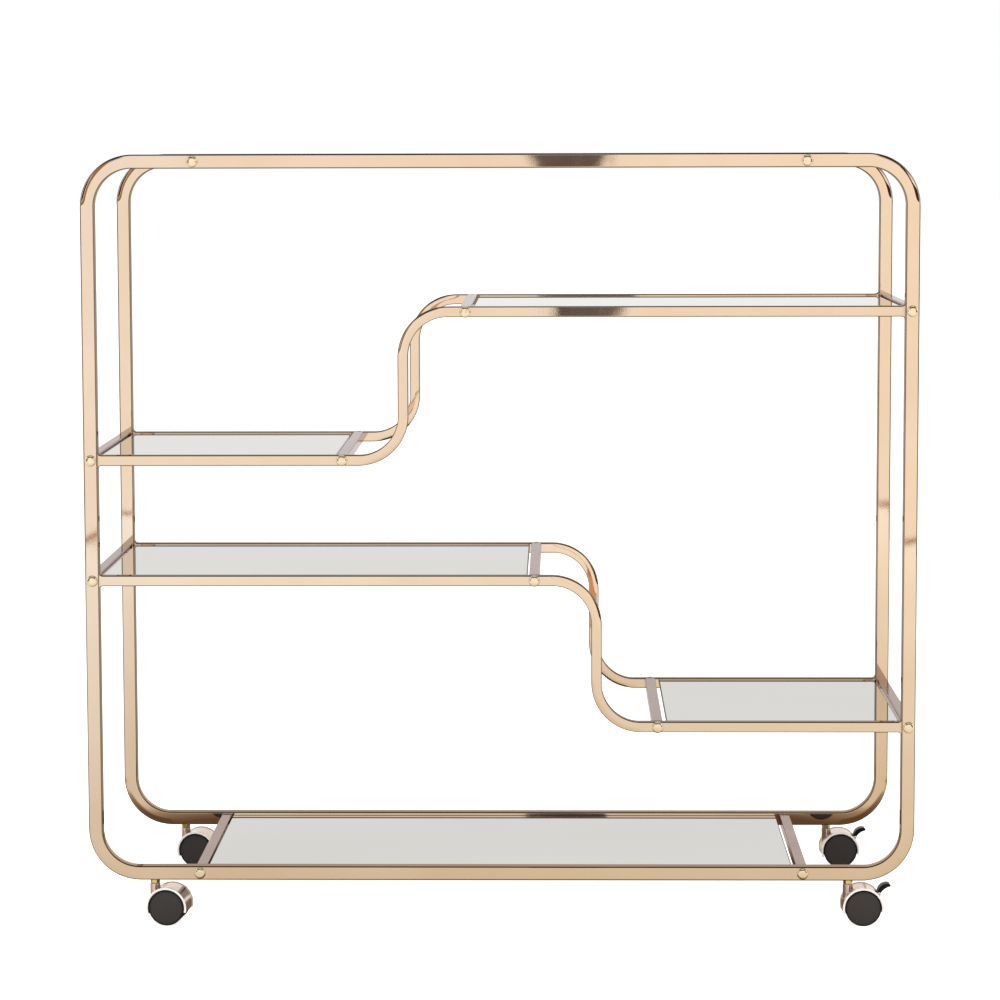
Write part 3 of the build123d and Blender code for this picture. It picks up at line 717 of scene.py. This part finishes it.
arris = 0.0014
level_face = 0.9
for name in sorted(n for n in nodes if n.startswith("mirror_")):
    low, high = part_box(name)
    mesh = bmesh.new()
    bmesh.ops.create_cube(mesh, size=1.0)
    for vertex in mesh.verts:
        vertex.co = [low[i] + (vertex.co[i] + 0.5) * (high[i] - low[i]) for i in range(3)]
    bmesh.ops.bevel(mesh, geom=list(mesh.edges), offset=arris, segments=1, affect="EDGES")
    mesh.normal_update()
    for face in mesh.faces:
        is_top, is_back = face.normal.z > level_face, face.normal.z < -level_face
        face.material_index = 0 if is_top else 2 if is_back else 1
    made = bpy.data.meshes.new(f"{name}_glass")
    mesh.to_mesh(made)
    mesh.free()
    piece = new_piece(f"{name}_glass", made, mirror_finish, edge_finish, backing_finish)
    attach(piece, "frame")
    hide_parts(name)

# Bumper pads. Clear soft polymer discs between the glass and its tabs, punched from sheet. They
# look faintly milky.
pad_finish, tree, shader = material("clear_soft_polymer")
where = add(tree, "ShaderNodeTexCoord").outputs["Object"]
milk = add(tree, "ShaderNodeTexNoise", {"Vector": where, "Scale": 1000 / 3.33, "Detail": 2.0})
clear = ramp(tree, milk.outputs[0], [(0.3, linear("#D9DEDE")), (0.7, linear("#E8ECEC"))])
tree.links.new(clear, shader.inputs["Base Color"])
shader.inputs["Roughness"].default_value = 0.3
shader.inputs["Transmission Weight"].default_value = 0.5
finish_cad("bumper_pads", pad_finish)

# Caster stems. Turned steel studs with a hex collar, yellow passivated, screwed up into the
# sleeves in the bottom bars.
stem_finish, tree, shader = material("yellow_passivated_steel")
where = add(tree, "ShaderNodeTexCoord").outputs["Object"]
iridescence = add(tree, "ShaderNodeTexNoise", {"Vector": where, "Scale": 1000 / 6, "Detail": 2.0})
yellow = ramp(tree, iridescence.outputs[0], [(0.3, linear("#D9C670")), (0.55, linear("#F0E3A0")),
                                             (0.8, linear("#E8D9B0"))])
tree.links.new(yellow, shader.inputs["Base Color"])
shader.inputs["Metallic"].default_value = 1.0
shader.inputs["Roughness"].default_value = 0.2
for name in sorted(n for n in nodes if n.endswith("_stem")):
    finish_cad(name, stem_finish)

# Caster hoods. Zinc die-castings, polished and plated the same pale gold as the tubes but a
# little pinker.
hood_finish, tree, shader = material("champagne_plated_die_casting")
where = add(tree, "ShaderNodeTexCoord").outputs["Object"]
cloud = add(tree, "ShaderNodeTexNoise", {"Vector": where, "Scale": 1000 / 25, "Detail": 3.0})
plate = ramp(tree, cloud.outputs[0], [(0.3, linear("#D8BFAD")), (0.7, linear("#E8D3C3"))])
tree.links.new(plate, shader.inputs["Base Color"])
shader.inputs["Metallic"].default_value = 0.86
haze = add(tree, "ShaderNodeTexNoise", {"Vector": where, "Scale": 1000 / 8, "Detail": 4.0})
gloss = add(tree, "ShaderNodeMapRange", {0: haze.outputs[0], 1: 0.3, 2: 0.7, 3: 0.10, 4: 0.20})
tree.links.new(gloss.outputs[0], shader.inputs["Roughness"])
skin = add(tree, "ShaderNodeBump", {"Height": cloud.outputs[0], "Strength": 0.06,
                                    "Distance": 0.0008})
tree.links.new(skin.outputs[0], shader.inputs["Normal"])

# Hood rims. The flat cheek round each open side of a hood, faced off after casting, so it is a
# brighter and flatter white than the polished back. Each hood's cheeks are square to its axle.
rim_finish, tree, shader = material("bright_rolled_hood_rim")
where = add(tree, "ShaderNodeTexCoord").outputs["Object"]
cloud = add(tree, "ShaderNodeTexNoise", {"Vector": where, "Scale": 1000 / 12, "Detail": 2.0})
bright = ramp(tree, cloud.outputs[0], [(0.3, linear("#F6F0EC")), (0.7, linear("#FFFCF8"))])
tree.links.new(bright, shader.inputs["Base Color"])
shader.inputs["Metallic"].default_value = 0.3
shader.inputs["Roughness"].default_value = 0.38
axles = {}
for joint in frame["joints"]:
    if joint["name"].startswith("roll_") and joint["name"].endswith("_front"):
        axles[joint["name"].removeprefix("roll_").removesuffix("_front")] = joint["axis"]
for name in sorted(n for n in nodes if n.endswith("_housing")):
    corner = name.removeprefix("caster_").removesuffix("_housing")
    finish_cad(name, hood_finish, axles[corner], rim_finish)

# Wheel treads. Injection-moulded black nylon, smooth from the mould and scuffed by the floor, and
# coloured darker than the wheels' faces.
tread_finish, tree, shader = material("smooth_black_nylon_tread")
where = add(tree, "ShaderNodeTexCoord").outputs["Object"]
scuff = add(tree, "ShaderNodeTexNoise", {"Vector": where, "Scale": 1000 / 4, "Detail": 3.0})
tread = ramp(tree, scuff.outputs[0], [(0.35, linear("#0D0B0A")), (0.75, linear("#181514"))])
tree.links.new(tread, shader.inputs["Base Color"])
shader.inputs["Specular IOR Level"].default_value = 0.25
worn = add(tree, "ShaderNodeMapRange", {0: scuff.outputs[0], 1: 0.3, 2: 0.7, 3: 0.35, 4: 0.55})
tree.links.new(worn.outputs[0], shader.inputs["Roughness"])

# Wheel faces. The same black nylon with a fine spark-eroded grain, which reads as a soft charcoal.
# Mould grain is about 0.1 mm; it is drawn at 0.5 mm so that it shows.
wheel_finish, tree, shader = material("moulded_black_nylon")
where = add(tree, "ShaderNodeTexCoord").outputs["Object"]
grain = add(tree, "ShaderNodeTexNoise", {"Vector": where, "Scale": 1000 / 0.5, "Detail": 2.0})
nylon = ramp(tree, grain.outputs[0], [(0.3, linear("#2B2727")), (0.7, linear("#363131"))])
tree.links.new(nylon, shader.inputs["Base Color"])
shader.inputs["Roughness"].default_value = 0.5
grit = add(tree, "ShaderNodeBump", {"Height": grain.outputs[0], "Strength": 0.25,
                                    "Distance": 0.0002})
tree.links.new(grit.outputs[0], shader.inputs["Normal"])
for name in sorted(n for n in nodes if "_wheel_" in n):
    corner = name.removeprefix("caster_").split("_wheel_")[0]
    finish_cad(name, tread_finish, axles[corner], wheel_finish)

# Brake levers. Moulded in black nylon with a soft sheen, each pinned in a slot in one of the two
# right-hand hoods and pressed down by foot.
lever_finish, tree, shader = material("moulded_glossy_black_nylon")
where = add(tree, "ShaderNodeTexCoord").outputs["Object"]
flow = add(tree, "ShaderNodeTexNoise", {"Vector": where, "Scale": 1000 / 3, "Detail": 3.0})
black = ramp(tree, flow.outputs[0], [(0.3, linear("#0B0A0A")), (0.7, linear("#141211"))])
tree.links.new(black, shader.inputs["Base Color"])
shader.inputs["Specular IOR Level"].default_value = 0.16
rub = add(tree, "ShaderNodeMapRange", {0: flow.outputs[0], 1: 0.3, 2: 0.7, 3: 0.25, 4: 0.42})
tree.links.new(rub.outputs[0], shader.inputs["Roughness"])
for name in sorted(n for n in nodes if n.startswith("brake_lever")):
    finish_cad(name, lever_finish)
